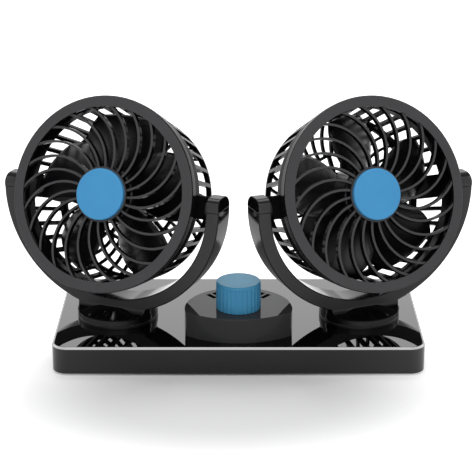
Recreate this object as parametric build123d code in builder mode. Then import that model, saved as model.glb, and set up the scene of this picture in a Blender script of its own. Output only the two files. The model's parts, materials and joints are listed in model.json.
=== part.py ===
from build123d import *
from math import cos, radians, sin
import os

# Twin head dashboard fan: two tilting fan heads on swivelling yokes, on one flat base
# with a rotary speed switch. Millimetres, +Z up, the front looks along -Y.
# The origin is the middle of the underside, on the face of the adhesive pad.

os.makedirs("parts", exist_ok=True)

# Shared clearances and the overrun of every cut
overrun = 1.0
running_clearance = 0.06
seat_clearance = 0.15

# Base, as wide as the two swivels need
swivel_inset = 33.43
base_depth = 106.0
base_height = 16.4
base_corner_radius = 8.5
base_edge_chamfer = 1.2
base_wall = 2.2
base_roof = 2.2
pad_thickness = 1.0
pad_inset = 5.0
plate_thickness = 2.4

# Base screws and the bosses that take them
base_screw_inset_x = 13.0
base_screw_inset_y = 12.0
screw_radius = 1.4
screw_head_radius = 2.7
screw_head_height = 1.5
screw_length = 9.0
boss_radius = 3.8

# Speed switch drum, cut off in front by a shallower arc
drum_radius = 30.0
drum_height = 14.0
drum_setback = 25.0
drum_wall = 2.0
drum_roof = 2.0
drum_front_radius = 43.6
drum_front_margin = 6.1
drum_edge_fillet = 0.5
drum_opening_radius = 16.0
drum_screw_circle_radius = 24.6
drum_screw_angles = (25.0, 90.0, 155.0)
drum_screw_length = 7.0
mark_angle = 38.0
mark_start_radius = 18.6
mark_length = 7.0
mark_width = 0.9
mark_gap = 1.3
mark_depth = 0.25

# Rotary switch
switch_body_radius = 10.5
switch_body_height = 8.5
switch_bush_radius = 4.4
switch_bush_rise = 3.6
switch_shaft_radius = 3.0
switch_shaft_flat = 0.8
switch_shaft_depth = 5.0
switch_nut_across = 12.0
switch_nut_height = 2.0
switch_terminal_radius = 6.0
switch_terminal_width = 2.6
switch_terminal_thickness = 0.6
switch_terminal_length = 2.4

# Knob
knob_radius = 12.4
knob_height = 15.5
knob_gap = 0.3
knob_wall = 1.9
knob_roof = 2.4
knob_top_fillet = 0.9
knob_hub_radius = 4.9
knob_hub_gap = 0.8
flute_count = 30
flute_radius = 1.6
flute_depth = 0.3
flute_land = 1.8
notch_width = 1.6
notch_depth = 0.9

# Speed resistor, cable gland and the leads inside the base
resistor_length = 22.0
resistor_width = 9.0
resistor_height = 6.5
resistor_edge = 0.6
resistor_inset = 39.0
gland_height = 8.6
gland_neck_radius = 3.8
gland_flange_radius = 5.0
gland_flange_thickness = 1.6
gland_tail_length = 8.0
gland_tail_radius = 3.3
gland_bore_radius = 2.4
lead_radius = 1.3
lead_gap = 0.3
lead_bend_radius = 5.0
lead_rise = 7.0
lead_side = 16.0
lead_slack = 8.0

# Swivel of each yoke; the gap is between the circles that the two yokes swing in
head_gap = 5.34
swivel_setback = -2.9
swivel_ring_radius = 22.9
swivel_ring_thickness = 1.2
swivel_ring_chamfer = 0.3
stud_radius = 7.0
stud_bore_radius = 3.4
stud_bore_depth = 4.0
stud_tip = 0.8
swivel_washer_radius = 11.5
swivel_washer_thickness = 0.8
swivel_nut_across = 20.0
swivel_nut_height = 3.0

# Yoke: an arch round the head on a round foot, each arm closed by a cap above the pivot
foot_height = 4.4
foot_radius = 21.8
foot_side_height = 2.6
foot_crown_height = 3.4
foot_crown_radius = 11.0
yoke_gap = 4.4
yoke_thickness = 7.5
yoke_depth = 16.0
yoke_edge_chamfer = 0.6
pivot_cap_height = 9.5
pivot_cap_corner = 4.5
peg_radius = 1.2
peg_length = 5.0
peg_spacing = 10.8
head_yaw = 22.8
head_tilt = 19.45

# Front grille: ring, collar, spiral ribs and hub
ring_radius = 54.5
ring_face_width = 6.0
ring_reach = 17.6
ring_height = 5.95
ring_edge_round = 0.8
ring_taper = 0.5
ring_lip = 2.6
collar_step = 1.3
collar_length = 7.75
collar_wall = 1.8
rib_count = 24
rib_width = 1.3
rib_depth = 3.4
rib_setback = 0.8
rib_sweep = 37.5
hub_radius = 15.3
hub_depth = 4.4
rib_root_depth = 0.8

# Blue disc in the hub
disc_land = 1.1
disc_rise = 2.2
disc_recess = 1.2
disc_edge_round = 0.7
disc_spigot_radius = 4.0
disc_spigot_length = 2.6

# Rear cage: slotted cup with the trunnions and the motor tube
cage_tongue = 5.0
cage_tongue_wall = 1.6
cage_step = 0.2
cage_wall = 2.4
cage_reach = 28.6
cage_taper = 4.9
cage_corner_round = 2.4
cage_floor = 2.2
cage_front_band = 1.6
cage_rim_height = 3.4
cage_rim_width = 3.4
side_bar_count = 36
side_bar_width = 2.2
rear_bar_width = 1.5
rear_bar_sweep = -10.0
middle_ring_radius = 25.4
middle_ring_width = 1.6
inner_bar_width = 2.0
pivot_boss_size = 13.0
pivot_boss_corner = 1.6
pivot_boss_gap = 1.35
trunnion_radius = 3.5
trunnion_reach = 6.0
trunnion_end_gap = 0.4
tilt_washer_radius = 6.3
tilt_washer_thickness = 0.9

# Motor, in the tube at the middle of the cage
motor_radius = 12.0
motor_length = 21.0
motor_setback = 4.6
can_wall = 0.8
tube_wall = 1.4
tube_face = 1.5
nose_radius = 3.0
bell_thickness = 2.0
bell_hub_radius = 3.4
bell_hub_height = 1.6
motor_screw_radius = 0.95
motor_screw_head_radius = 1.8
motor_screw_head_height = 1.1
motor_screw_length = 3.2
motor_screw_spacing = 16.0
terminal_width = 2.2
terminal_thickness = 0.5
terminal_length = 2.0
terminal_spacing = 15.0
motor_cover_overhang = 1.45
motor_cover_thickness = 1.5
motor_cover_wall = 1.2
motor_cover_spigot = 0.9
bush_radius = 2.2
bush_length = 3.0
magnet_thickness = 2.2
magnet_length = 12.0
magnet_arc = 110.0
magnet_setback = 3.6
air_gap = 0.5
armature_length = 9.0
armature_slot_width = 3.2
armature_slot_count = 3
armature_core_radius = 3.6
commutator_radius = 2.0
commutator_gap = 0.4
brush_width = 2.4
brush_thickness = 0.4
brush_span = 11.0
shaft_radius = 1.0
shaft_end_gap = 0.3

# Fan rotor
blade_count = 5
blade_tip_gap = 3.65
blade_thickness = 1.4
blade_camber_share = 0.07
blade_pitches = (40.0, 31.0, 23.0)
blade_chords = (19.0, 31.0, 43.0)
blade_lean = 8.0
rotor_hub_gap = 0.75
rotor_hub_wall = 1.3
rotor_hub_reach = 9.6
rotor_hub_length = 17.0
rotor_hub_face = 1.6
rotor_hub_round = 2.0
rotor_boss_radius = 3.2
rotor_boss_length = 7.0
rotor_phases = {"left": 171.0, "right": 161.0}

# Heights and places on the base that follow from the sizes above
roof_underside = base_height - base_roof
plate_top = pad_thickness + plate_thickness
drum_top = base_height + drum_height
drum_ceiling = drum_top - drum_roof
foot_bottom = base_height + swivel_ring_thickness
yoke_inner_radius = ring_radius + yoke_gap
yoke_outer_radius = yoke_inner_radius + yoke_thickness
pivot_height = base_height + foot_height + yoke_outer_radius
swivel_spacing = 2 * yoke_outer_radius + head_gap
base_width = swivel_spacing + 2 * swivel_inset
drum_y = drum_setback - base_depth / 2
resistor_y = base_depth / 2 - resistor_inset
swivel_washer_bottom = roof_underside - swivel_washer_thickness
swivel_nut_bottom = swivel_washer_bottom - swivel_nut_height
stud_bottom = swivel_nut_bottom - stud_tip

# Stations of a head, measured along its axis ahead of the pivot, and their radii
ring_back = ring_reach - ring_height
collar_back = ring_back - collar_length
ring_bore_radius = ring_radius - ring_face_width
collar_radius = ring_radius - ring_taper - collar_step
collar_bore_radius = collar_radius - collar_wall
rib_front = ring_reach - rib_setback
disc_radius = hub_radius - disc_land
shoulder_radius = collar_radius - cage_step
cage_rear_radius = shoulder_radius - cage_taper
tongue_radius = collar_bore_radius - seat_clearance
blade_tip_radius = tongue_radius - cage_tongue_wall - blade_tip_gap
motor_front = -motor_setback
tube_front = motor_front + tube_face
tube_bore_radius = motor_radius + seat_clearance
tube_radius = tube_bore_radius + tube_wall
motor_cover_radius = tube_radius + motor_cover_overhang
rotor_hub_radius = tube_radius + rotor_hub_gap + rotor_hub_wall
can_back = motor_front - motor_length
can_bore_radius = motor_radius - can_wall
rotor_back = rotor_hub_reach - rotor_hub_length
pivot_boss_face = yoke_inner_radius - pivot_boss_gap
trunnion_end = pivot_boss_face + trunnion_reach


# Labels a finished piece and writes it under its name
def write_piece(piece, name):
    piece.part.label = name
    export_step(piece.part, f"parts/{name}.step")


def axis_of(plane):
    return Axis(plane.origin, plane.z_dir)


# The plane through a piece's axis: x outwards, y along the axis
def profile_plane(plane):
    return Plane(origin=plane.origin, x_dir=plane.x_dir, z_dir=-plane.y_dir)


# The plane whose z runs along another plane's x
def cross_plane(plane):
    return Plane(origin=plane.origin, x_dir=plane.y_dir, z_dir=plane.x_dir)


# A plane square to a spoke of the given plane: x along the rim, y along the axis
def spoke_plane(plane, angle, radius, height):
    turn = radians(angle)
    out = plane.x_dir * cos(turn) + plane.y_dir * sin(turn)
    rim = plane.y_dir * cos(turn) - plane.x_dir * sin(turn)
    centre = plane.origin + out * radius + plane.z_dir * height
    return Plane(origin=centre, x_dir=rim, z_dir=out)


# Base cover: a rounded lid, open below, with a boss for each base screw
base_screw_span = (base_width - 2 * base_screw_inset_x, base_depth - 2 * base_screw_inset_y)
base_screw_end = pad_thickness + screw_length
drum_centre = (0, drum_y)
swivel_centres = {
    "left": (-swivel_spacing / 2, swivel_setback),
    "right": (swivel_spacing / 2, swivel_setback),
}
drum_screw_centres = [
    (
        drum_screw_circle_radius * cos(radians(angle)),
        drum_y + drum_screw_circle_radius * sin(radians(angle)),
    )
    for angle in drum_screw_angles
]

with BuildPart() as base_cover:
    with BuildSketch(Plane.XY.offset(pad_thickness)):
        RectangleRounded(base_width, base_depth, base_corner_radius)
    extrude(amount=base_height - pad_thickness)
    chamfer(base_cover.edges().group_by(Axis.Z)[-1], base_edge_chamfer)
    with BuildSketch(Plane.XY.offset(pad_thickness)):
        RectangleRounded(
            base_width - 2 * base_wall, base_depth - 2 * base_wall, base_corner_radius - base_wall
        )
    extrude(amount=roof_underside - pad_thickness, mode=Mode.SUBTRACT)
    with BuildSketch(Plane.XY.offset(plate_top)):
        with GridLocations(*base_screw_span, 2, 2):
            Circle(boss_radius)
    extrude(amount=roof_underside - plate_top)
    with BuildSketch(Plane.XY.offset(plate_top)):
        with GridLocations(*base_screw_span, 2, 2):
            Circle(screw_radius + seat_clearance)
    extrude(amount=base_screw_end + seat_clearance - plate_top, mode=Mode.SUBTRACT)
    with BuildSketch(Plane.XY.offset(roof_underside)):
        with Locations(*swivel_centres.values()):
            Circle(stud_radius + running_clearance)
        with Locations(drum_centre):
            Circle(drum_opening_radius)
        with Locations(*drum_screw_centres):
            Circle(screw_radius + seat_clearance)
    extrude(amount=base_roof, mode=Mode.SUBTRACT)
    with BuildSketch(Plane.XZ.offset(-base_depth / 2)):
        with Locations((0, gland_height)):
            Circle(gland_neck_radius + seat_clearance)
    extrude(amount=base_wall, mode=Mode.SUBTRACT)
write_piece(base_cover, "base_cover")

# Base plate, let into the cover, with a recess for each screw head
plate_inset = base_wall + seat_clearance
with BuildPart() as base_plate:
    with BuildSketch(Plane.XY.offset(pad_thickness)):
        RectangleRounded(
            base_width - 2 * plate_inset, base_depth - 2 * plate_inset, base_corner_radius - plate_inset
        )
    extrude(amount=plate_thickness)
    with BuildSketch(Plane.XY.offset(pad_thickness)):
        with GridLocations(*base_screw_span, 2, 2):
            Circle(screw_head_radius + seat_clearance)
    extrude(amount=screw_head_height, mode=Mode.SUBTRACT)
    with BuildSketch(Plane.XY.offset(pad_thickness)):
        with GridLocations(*base_screw_span, 2, 2):
            Circle(screw_radius + seat_clearance)
    extrude(amount=plate_thickness, mode=Mode.SUBTRACT)
write_piece(base_plate, "base_plate")

with BuildPart() as base_screws:
    with BuildSketch(Plane.XY.offset(pad_thickness)):
        with GridLocations(*base_screw_span, 2, 2):
            Circle(screw_head_radius)
    extrude(amount=screw_head_height)
    with BuildSketch(Plane.XY.offset(pad_thickness)):
        with GridLocations(*base_screw_span, 2, 2):
            Circle(screw_radius)
    extrude(amount=screw_length)
write_piece(base_screws, "base_screws")

with BuildPart() as adhesive_pad:
    with BuildSketch():
        RectangleRounded(
            base_width - 2 * pad_inset, base_depth - 2 * pad_inset, base_corner_radius - pad_inset
        )
    extrude(amount=pad_thickness)
write_piece(adhesive_pad, "adhesive_pad")

# Switch housing: the drum on the base cover
drum_front_centre = (0, drum_front_radius + drum_front_margin - base_depth / 2)


def drum_outline(inset):
    with Locations(drum_centre):
        Circle(drum_radius - inset)
    with Locations(drum_front_centre):
        Circle(drum_front_radius - inset, mode=Mode.INTERSECT)


with BuildPart() as switch_housing:
    with BuildSketch(Plane.XY.offset(base_height)):
        drum_outline(0)
    extrude(amount=drum_height)
    fillet(switch_housing.edges().group_by(Axis.Z)[-1], drum_edge_fillet)
    with BuildSketch(Plane.XY.offset(base_height)):
        drum_outline(drum_wall)
    extrude(amount=drum_height - drum_roof, mode=Mode.SUBTRACT)
    with BuildSketch(Plane.XY.offset(base_height)):
        with Locations(*drum_screw_centres):
            Circle(boss_radius)
    extrude(amount=drum_height - drum_roof)
    with BuildSketch(Plane.XY.offset(base_height)):
        with Locations(*drum_screw_centres):
            Circle(screw_radius + seat_clearance)
    extrude(amount=drum_screw_length, mode=Mode.SUBTRACT)
    with BuildSketch(Plane.XY.offset(drum_ceiling)):
        with Locations(drum_centre):
            Circle(switch_bush_radius + seat_clearance)
    extrude(amount=drum_roof, mode=Mode.SUBTRACT)
    with BuildSketch(Plane.XY.offset(drum_top)):
        for angle in (90 - mark_angle, 90 + mark_angle):
            for side in (-1, 1):
                with Locations(Location(drum_centre, angle)):
                    with Locations((mark_start_radius + mark_length / 2, side * mark_gap)):
                        Rectangle(mark_length, mark_width)
    extrude(amount=-mark_depth, mode=Mode.SUBTRACT)
write_piece(switch_housing, "switch_housing")

with BuildPart() as housing_screws:
    with BuildSketch(Plane.XY.offset(roof_underside - screw_head_height)):
        with Locations(*drum_screw_centres):
            Circle(screw_head_radius)
    extrude(amount=screw_head_height)
    with BuildSketch(Plane.XY.offset(roof_underside)):
        with Locations(*drum_screw_centres):
            Circle(screw_radius)
    extrude(amount=drum_screw_length)
write_piece(housing_screws, "housing_screws")

# Rotary switch: body under the drum's roof, threaded bush through it, three terminals
switch_plane = Plane.XY.move(Location((0, drum_y, drum_ceiling)))
bush_rise = drum_roof + switch_bush_rise
terminal_angles = {"right": 0, "supply": 90, "left": 180}

with BuildPart() as rotary_switch:
    with BuildSketch(switch_plane):
        Circle(switch_body_radius)
    extrude(amount=-switch_body_height)
    with BuildSketch(switch_plane):
        Circle(switch_bush_radius)
    extrude(amount=bush_rise)
    with BuildSketch(switch_plane.offset(bush_rise)):
        Circle(switch_shaft_radius + running_clearance)
    extrude(amount=-bush_rise - switch_shaft_depth, mode=Mode.SUBTRACT)
    with BuildSketch(switch_plane.offset(-switch_body_height)):
        for angle in terminal_angles.values():
            with PolarLocations(switch_terminal_radius, 1, start_angle=angle):
                Rectangle(switch_terminal_thickness, switch_terminal_width)
    extrude(amount=-switch_terminal_length)
write_piece(rotary_switch, "rotary_switch")

with BuildPart() as switch_nut:
    with BuildSketch(switch_plane.offset(drum_roof)):
        RegularPolygon(switch_nut_across / 2, 6, major_radius=False)
        Circle(switch_bush_radius + seat_clearance, mode=Mode.SUBTRACT)
    extrude(amount=switch_nut_height)
write_piece(switch_nut, "switch_nut")

# Knob and the switch shaft with its flat, turned so that the notch points at the left mark
knob_angle = 90 + mark_angle
knob_bottom = drum_roof + knob_gap
knob_ceiling = knob_bottom + knob_height - knob_roof
knob_hub_bottom = bush_rise + knob_hub_gap
knob_plane = switch_plane.rotated((0, 0, knob_angle))


def shaft_outline(gap):
    Circle(switch_shaft_radius + gap)
    with Locations((-switch_shaft_radius, 0)):
        Rectangle(2 * (switch_shaft_flat - gap), 2 * switch_shaft_radius, mode=Mode.SUBTRACT)


with BuildPart() as switch_shaft:
    with BuildSketch(knob_plane.offset(seat_clearance - switch_shaft_depth)):
        Circle(switch_shaft_radius)
    extrude(amount=switch_shaft_depth + bush_rise - seat_clearance)
    with BuildSketch(knob_plane.offset(bush_rise)):
        shaft_outline(0)
    extrude(amount=knob_ceiling - bush_rise - seat_clearance)
write_piece(switch_shaft, "switch_shaft")

with BuildPart() as knob:
    with BuildSketch(knob_plane.offset(knob_bottom)):
        Circle(knob_radius)
    extrude(amount=knob_height)
    fillet(knob.edges().group_by(Axis.Z)[-1], knob_top_fillet)
    with BuildSketch(knob_plane.offset(knob_bottom)):
        with PolarLocations(knob_radius + flute_radius - flute_depth, flute_count):
            Circle(flute_radius)
    extrude(amount=knob_height - flute_land, mode=Mode.SUBTRACT)
    with BuildSketch(knob_plane.offset(knob_bottom)):
        Circle(knob_radius - knob_wall)
    extrude(amount=knob_height - knob_roof, mode=Mode.SUBTRACT)
    with BuildSketch(knob_plane.offset(knob_hub_bottom)):
        Circle(knob_hub_radius)
    extrude(amount=knob_ceiling - knob_hub_bottom)
    with BuildSketch(knob_plane.offset(knob_hub_bottom)):
        shaft_outline(seat_clearance)
    extrude(amount=knob_ceiling - knob_hub_bottom, mode=Mode.SUBTRACT)
    with BuildSketch(knob_plane.offset(knob_bottom + knob_height)):
        with Locations((knob_radius, 0)):
            Rectangle(2 * notch_depth, notch_width)
    extrude(amount=-notch_depth, mode=Mode.SUBTRACT)
write_piece(knob, "knob")

# Speed resistor on the base plate
with BuildPart() as speed_resistor:
    with BuildSketch(Plane.XY.offset(plate_top)):
        with Locations((0, resistor_y)):
            Rectangle(resistor_length, resistor_width)
    extrude(amount=resistor_height)
    chamfer(speed_resistor.edges().group_by(Axis.Z)[-1], resistor_edge)
write_piece(speed_resistor, "speed_resistor")

# Cable gland in the back wall, with a tapered tail outside
gland_plane = Plane(origin=(0, base_depth / 2, gland_height), x_dir=(1, 0, 0), z_dir=(0, 1, 0))
gland_inner_end = -base_wall - gland_flange_thickness

with BuildPart() as cable_gland:
    with BuildSketch(profile_plane(gland_plane)):
        Polygon(
            (gland_bore_radius, gland_inner_end),
            (gland_flange_radius, gland_inner_end),
            (gland_flange_radius, -base_wall),
            (gland_neck_radius, -base_wall),
            (gland_neck_radius, 0),
            (gland_flange_radius, 0),
            (gland_flange_radius, gland_flange_thickness),
            (gland_neck_radius, gland_flange_thickness),
            (gland_tail_radius, gland_flange_thickness + gland_tail_length),
            (gland_bore_radius, gland_flange_thickness + gland_tail_length),
            align=None,
        )
    revolve(axis=axis_of(gland_plane))
write_piece(cable_gland, "cable_gland")

# Leads inside the base, from the switch terminals to the hollow studs and to the gland
lead_floor = plate_top + lead_radius + lead_gap
terminal_tip = drum_ceiling - switch_body_height - switch_terminal_length
lead_start = {
    name: (
        switch_terminal_radius * cos(radians(angle)),
        drum_y + switch_terminal_radius * sin(radians(angle)),
    )
    for name, angle in terminal_angles.items()
}
lead_routes = {
    f"{side}_lead": [
        (*lead_start[side], terminal_tip - lead_gap),
        (*lead_start[side], lead_floor),
        (*swivel_centres[side], lead_floor),
        (*swivel_centres[side], lead_floor + lead_rise),
    ]
    for side in swivel_centres
}
lead_routes["supply_lead"] = [
    (*lead_start["supply"], terminal_tip - lead_gap),
    (*lead_start["supply"], lead_floor),
    (lead_side, resistor_y - resistor_width, lead_floor),
    (lead_side, resistor_y + resistor_width, lead_floor),
    (0, base_depth / 2 + gland_inner_end - lead_slack, gland_height),
    (0, base_depth / 2 + gland_inner_end - lead_gap, gland_height),
]

for name, route in lead_routes.items():
    with BuildPart() as lead:
        with BuildLine() as path:
            FilletPolyline(*route, radius=lead_bend_radius)
        with BuildSketch(Plane(origin=path.line @ 0, z_dir=path.line % 0)):
            Circle(lead_radius)
        sweep(path=path.line)
    write_piece(lead, name)


# Bearing ring on the base cover, under the foot of a yoke
def make_swivel_ring(side, swivel_plane):
    with BuildPart() as swivel_ring:
        with BuildSketch(swivel_plane):
            Circle(swivel_ring_radius)
            Circle(stud_radius + running_clearance, mode=Mode.SUBTRACT)
        extrude(amount=swivel_ring_thickness)
        outer_edge = swivel_ring.edges().group_by(Axis.Z)[-1].sort_by(SortBy.RADIUS)[-1]
        chamfer(outer_edge, swivel_ring_chamfer)
    write_piece(swivel_ring, f"{side}_swivel_ring")


# Washer and nut that hold the stud of a yoke under the roof of the base cover
def make_swivel_fasteners(side, swivel_plane):
    with BuildPart() as swivel_washer:
        with BuildSketch(swivel_plane.offset(swivel_washer_bottom - base_height)):
            Circle(swivel_washer_radius)
            Circle(stud_radius + seat_clearance, mode=Mode.SUBTRACT)
        extrude(amount=swivel_washer_thickness)
    write_piece(swivel_washer, f"{side}_swivel_washer")

    with BuildPart() as swivel_nut:
        with BuildSketch(swivel_plane.offset(swivel_nut_bottom - base_height)):
            RegularPolygon(swivel_nut_across / 2, 6, major_radius=False)
            Circle(stud_radius + seat_clearance, mode=Mode.SUBTRACT)
        extrude(amount=swivel_nut_height)
    write_piece(swivel_nut, f"{side}_swivel_nut")


# Part of the arch between two heights over the pivot, in the sketch that is open
def arch_outline(low, high):
    Circle(yoke_outer_radius)
    Circle(yoke_inner_radius, mode=Mode.SUBTRACT)
    with Locations((0, (low + high) / 2)):
        Rectangle(2 * yoke_outer_radius, high - low, mode=Mode.INTERSECT)


# Round the four long edges of the arch a little
def ease_arch(arch):
    chamfer(arch.edges().filter_by(GeomType.CIRCLE), yoke_edge_chamfer)


# Places of the pegs that fix the pivot caps, across the arch plane
arm_middle = (yoke_inner_radius + yoke_outer_radius) / 2
bearing_reach = trunnion_end + trunnion_end_gap


# Yoke: arch below the pivot, foot, hollow stud and the lower halves of both bearings
def make_yoke(side, swivel_plane, arch_plane):
    seam_plane = Plane(origin=arch_plane.origin, x_dir=arch_plane.x_dir, z_dir=arch_plane.y_dir)
    foot_plane = swivel_plane.offset(swivel_ring_thickness)
    stud_length = foot_bottom - stud_bottom
    foot_top = foot_side_height + foot_crown_height
    with BuildPart() as yoke:
        with BuildSketch(arch_plane.offset(-yoke_depth / 2)):
            arch_outline(-yoke_outer_radius, 0)
        extrude(amount=yoke_depth)
        ease_arch(yoke)
        with BuildSketch(profile_plane(foot_plane)):
            Polygon(
                (0, 0),
                (foot_radius, 0),
                (foot_radius, foot_side_height),
                (foot_crown_radius, foot_top),
                (0, foot_top),
                align=None,
            )
        revolve(axis=axis_of(foot_plane))
        with BuildSketch(foot_plane):
            Circle(stud_radius)
        extrude(amount=-stud_length)
        with BuildSketch(foot_plane.offset(-stud_length)):
            Circle(stud_bore_radius)
        extrude(amount=stud_length + stud_bore_depth, mode=Mode.SUBTRACT)
        with BuildSketch(cross_plane(arch_plane).offset(-bearing_reach)):
            Circle(trunnion_radius + running_clearance)
        extrude(amount=2 * bearing_reach, mode=Mode.SUBTRACT)
        with BuildSketch(seam_plane):
            with GridLocations(2 * arm_middle, peg_spacing, 2, 2):
                Circle(peg_radius + seat_clearance)
        extrude(amount=-peg_length - seat_clearance, mode=Mode.SUBTRACT)
    write_piece(yoke, f"{side}_yoke")


# Pivot cap: the end of one arm, with the upper half of its bearing and two pegs
def make_pivot_cap(name, arch_plane, direction):
    seam_plane = Plane(origin=arch_plane.origin, x_dir=arch_plane.x_dir, z_dir=arch_plane.y_dir)
    with BuildPart() as pivot_cap:
        with BuildSketch(arch_plane.offset(-yoke_depth / 2)):
            arch_outline(0, pivot_cap_height)
            with Locations((direction * yoke_outer_radius / 2, pivot_cap_height / 2)):
                Rectangle(yoke_outer_radius, pivot_cap_height, mode=Mode.INTERSECT)
        extrude(amount=yoke_depth)
        ease_arch(pivot_cap)
        arm_axis = Axis(arch_plane.origin, arch_plane.x_dir)
        fillet(pivot_cap.edges().group_by(Axis.Z)[-1].filter_by(arm_axis), pivot_cap_corner)
        with BuildSketch(cross_plane(arch_plane).offset(-bearing_reach)):
            Circle(trunnion_radius + running_clearance)
        extrude(amount=2 * bearing_reach, mode=Mode.SUBTRACT)
        with BuildSketch(seam_plane):
            with Locations((direction * arm_middle, 0)):
                with GridLocations(0, peg_spacing, 1, 2):
                    Circle(peg_radius)
        extrude(amount=-peg_length)
    write_piece(pivot_cap, name)


# Front grille: ring with its collar, spiral ribs that leave the hub square to it, and hub
def make_front_grille(side, head_plane):
    rib_end_radius = collar_bore_radius + collar_wall / 2
    rib_end = (rib_end_radius * cos(radians(rib_sweep)), rib_end_radius * sin(radians(rib_sweep)))
    hub_back = ring_reach - hub_depth
    with BuildPart() as front_grille:
        with BuildSketch(profile_plane(head_plane)):
            with BuildLine():
                Polyline(
                    (ring_radius, ring_reach - ring_edge_round),
                    (ring_radius - ring_taper, ring_back),
                    (collar_radius, ring_back),
                    (collar_radius, collar_back),
                    (collar_bore_radius, collar_back),
                    (collar_bore_radius, ring_back),
                    (ring_bore_radius, ring_reach - ring_lip),
                    (ring_bore_radius, ring_reach),
                    (ring_radius - ring_edge_round, ring_reach),
                )
                RadiusArc(
                    (ring_radius - ring_edge_round, ring_reach),
                    (ring_radius, ring_reach - ring_edge_round),
                    ring_edge_round,
                )
            make_face()
        revolve(axis=axis_of(head_plane))
        with BuildSketch(head_plane.offset(rib_front - rib_depth)):
            with BuildLine(mode=Mode.PRIVATE) as rib_line:
                TangentArc((hub_radius - rib_root_depth, 0), rib_end, tangent=(1, 0))
            rib = trace(rib_line.line, rib_width, mode=Mode.PRIVATE).face()
            with PolarLocations(0, rib_count):
                add(rib)
        extrude(amount=rib_depth)
        with BuildSketch(head_plane.offset(hub_back)):
            Circle(hub_radius)
        extrude(amount=hub_depth)
        with BuildSketch(head_plane.offset(ring_reach)):
            Circle(disc_radius + seat_clearance)
        extrude(amount=-disc_recess, mode=Mode.SUBTRACT)
        with BuildSketch(head_plane.offset(hub_back)):
            Circle(disc_spigot_radius + seat_clearance)
        extrude(amount=hub_depth, mode=Mode.SUBTRACT)
    write_piece(front_grille, f"{side}_front_grille")


def make_center_disc(side, head_plane):
    disc_back = ring_reach - disc_recess
    with BuildPart() as center_disc:
        with BuildSketch(head_plane.offset(disc_back)):
            Circle(disc_radius)
        extrude(amount=disc_recess + disc_rise)
        front_edge = center_disc.edges().sort_by(axis_of(head_plane))[-1]
        fillet(front_edge, disc_edge_round)
        with BuildSketch(head_plane.offset(disc_back)):
            Circle(disc_spigot_radius)
        extrude(amount=-disc_spigot_length)
    write_piece(center_disc, f"{side}_center_disc")


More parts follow.
